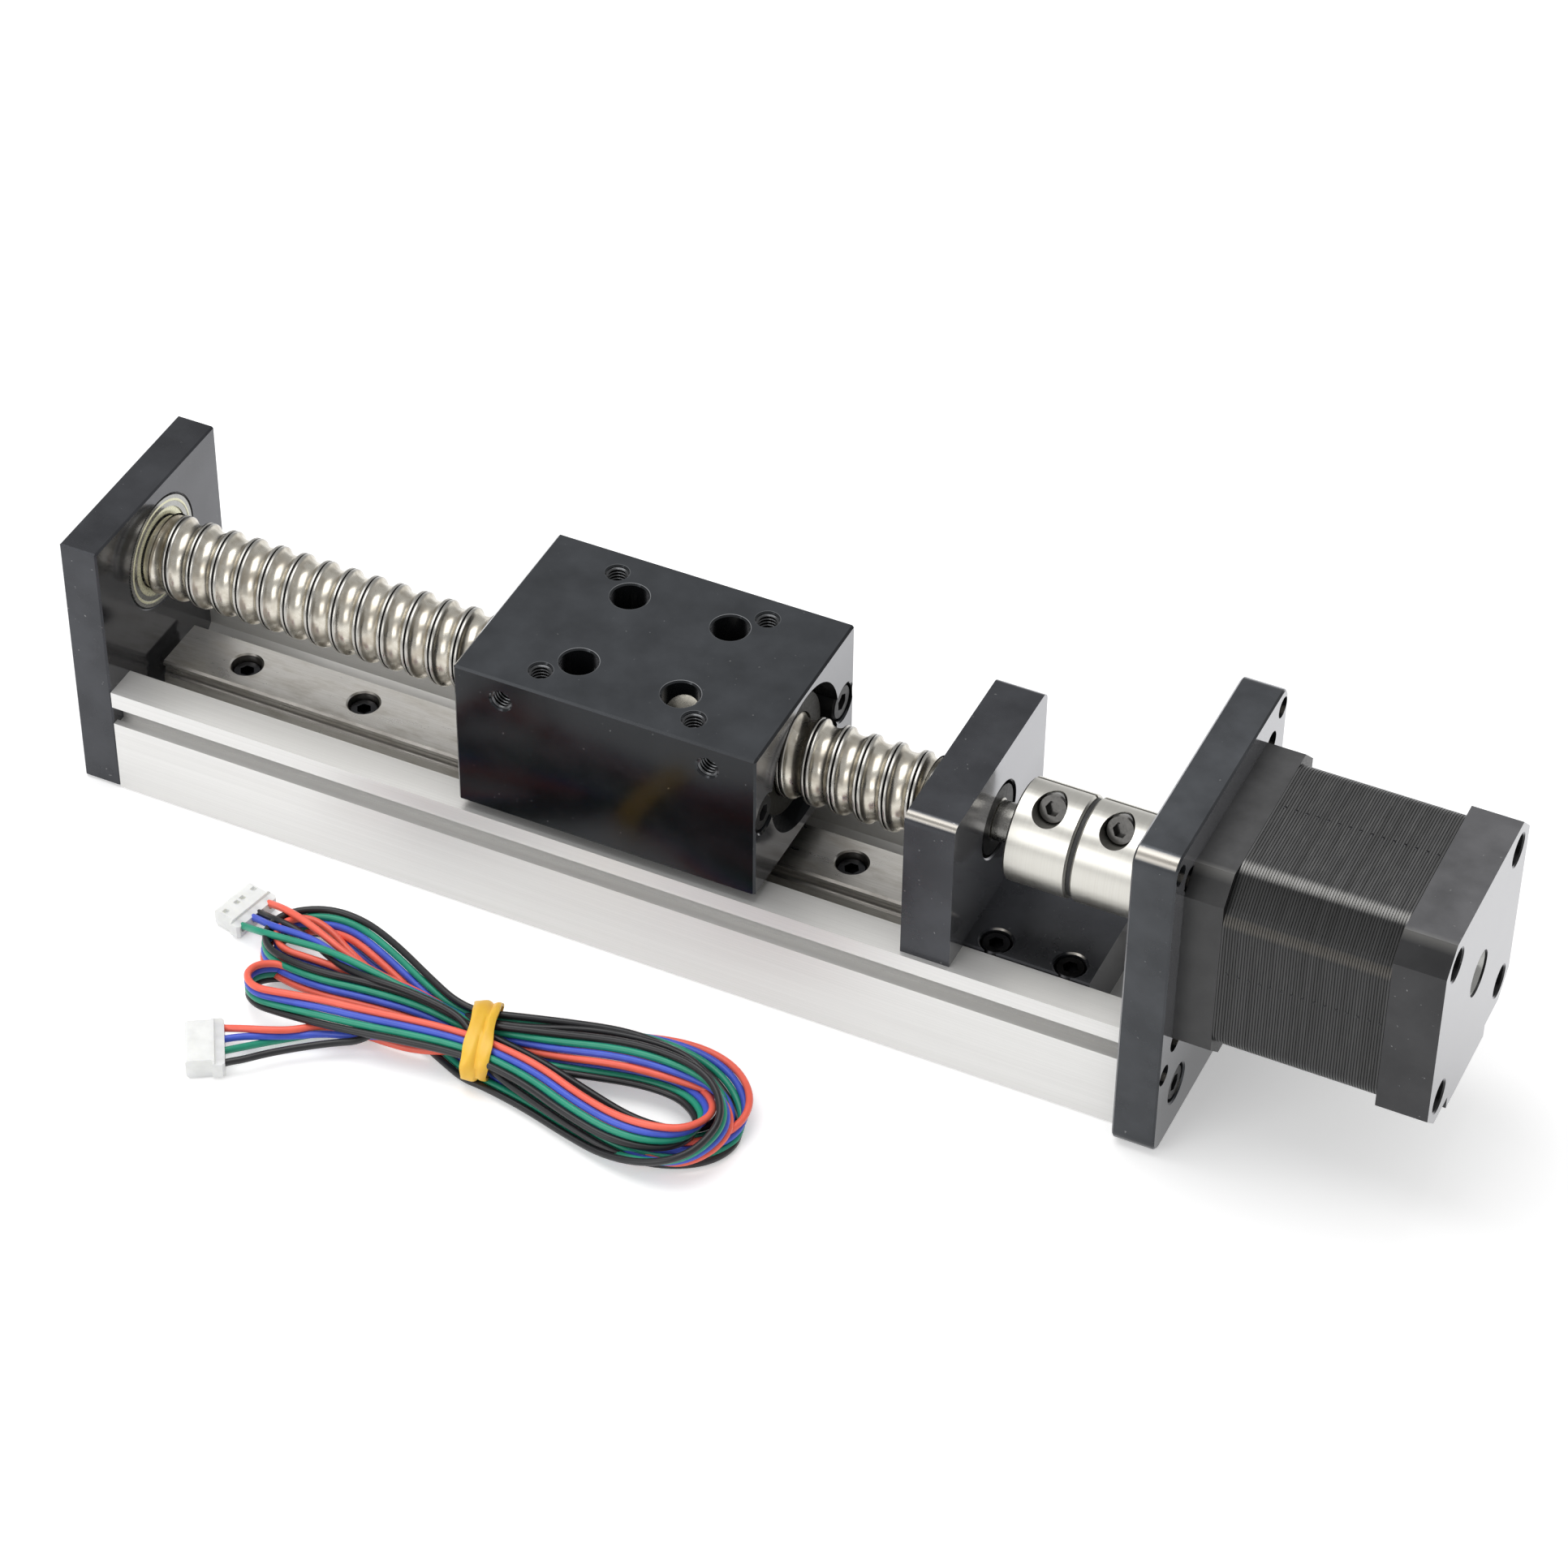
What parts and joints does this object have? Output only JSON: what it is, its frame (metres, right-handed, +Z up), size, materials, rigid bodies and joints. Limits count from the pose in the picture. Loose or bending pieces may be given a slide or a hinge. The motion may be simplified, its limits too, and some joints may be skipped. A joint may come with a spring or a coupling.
{
  "type": "ball screw linear module",
  "caption": "Short linear module: channel base with a guide rail, a carriage on a coupled ball screw, end plates, a stepper motor and its loose lead.",
  "frame": {"origin": "middle of the module's length, under the screw axis, on the surface that it stands on", "axes": "+X along the ball screw towards the motor, +Z up, +Y away from the side with the loose lead"},
  "size_m": [0.2658, 0.1084, 0.0691],
  "materials": {
    "profile_aluminium": "satin anodised",
    "black_anodised": "glossy black anodised",
    "guide_steel": "ground",
    "screw_steel": "polished",
    "bearing_steel": "polished",
    "shield_gold": "satin",
    "black_screw_steel": "black oxide",
    "bright_screw_steel": "zinc plated",
    "cap_plastic": "satin",
    "seal_rubber": "matt",
    "wiper_plastic": "satin",
    "coupling_aluminium": "turned",
    "insert_plastic": "matt",
    "motor_black": "satin black",
    "motor_rear": "glossy black",
    "stack_steel": "black oxide laminations",
    "magnet_grey": "matt",
    "winding_copper": "enamelled",
    "plug_white": "translucent white",
    "pin_metal": "tin plated",
    "wire_plastic": "insulation",
    "band_rubber": "satin"
  },
  "bodies": {
    "base": {"base_profile": "profile_aluminium", "bearing_support": "black_anodised", "end_bearing_balls": "bearing_steel", "end_bearing_outer_ring": "bearing_steel", "end_bearing_shields": "shield_gold", "end_plate": "black_anodised", "end_plate_screws": "bright_screw_steel", "guide_rail": "guide_steel", "lead_band": "band_rubber", "lead_hank": "wire_plastic", "lead_plug_lower": "plug_white", "lead_plug_upper": "plug_white", "lead_tail_lower": "wire_plastic", "lead_tail_upper": "wire_plastic", "motor_bearing_balls": "bearing_steel", "motor_bearing_outer_rings": "bearing_steel", "motor_coils": "winding_copper", "motor_connector": "plug_white", "motor_connector_pins": "pin_metal", "motor_front_bell": "motor_black", "motor_long_screws": "black_screw_steel", "motor_mount_screws": "black_screw_steel", "motor_plate": "black_anodised", "motor_plate_screws": "bright_screw_steel", "motor_rear_cap": "motor_rear", "motor_spring_washer": "bearing_steel", "motor_stator_stack": "stack_steel", "rail_screws": "bright_screw_steel", "support_bearing_balls": "bearing_steel", "support_bearing_outer_ring": "bearing_steel", "support_bearing_shields": "shield_gold", "support_screws": "black_screw_steel"},
    "screw": {"ball_screw": "screw_steel", "end_bearing_inner_ring": "bearing_steel", "support_bearing_inner_ring": "bearing_steel", "screw_lock_nut": "black_screw_steel", "coupling_hub_screw_side": "coupling_aluminium", "coupling_hub_motor_side": "coupling_aluminium", "coupling_insert": "insert_plastic", "coupling_clamp_screws": "black_screw_steel", "motor_shaft": "bearing_steel", "rotor_cups": "stack_steel", "rotor_magnet": "magnet_grey", "motor_bearing_inner_rings": "bearing_steel"},
    "carriage": {"carriage": "black_anodised", "carriage_screws": "bright_screw_steel", "nut_screws": "bright_screw_steel", "slider_body": "guide_steel", "slider_end_cap_left": "cap_plastic", "slider_end_cap_right": "cap_plastic", "slider_seals": "seal_rubber", "slider_cap_screws": "bright_screw_steel", "slider_balls": "bearing_steel", "ball_nut": "screw_steel", "nut_balls": "bearing_steel", "nut_wipers": "wiper_plastic"}
  },
  "joints": [
    {"name": "screw_turn", "type": "hinge", "parent": "base", "child": "screw", "pos_m": [0, 0, 0.04165], "axis": [1, 0, 0], "range_deg": [-1987.3, 5205.7]},
    {"name": "carriage_slide", "type": "slide", "parent": "base", "child": "carriage", "axis": [1, 0, 0], "range_m": [-0.0723, 0.0276]}
  ],
  "couplings": [
    {"joint": "screw_turn", "follows": "carriage_slide", "rad_per_m": -1256.6}
  ]
}
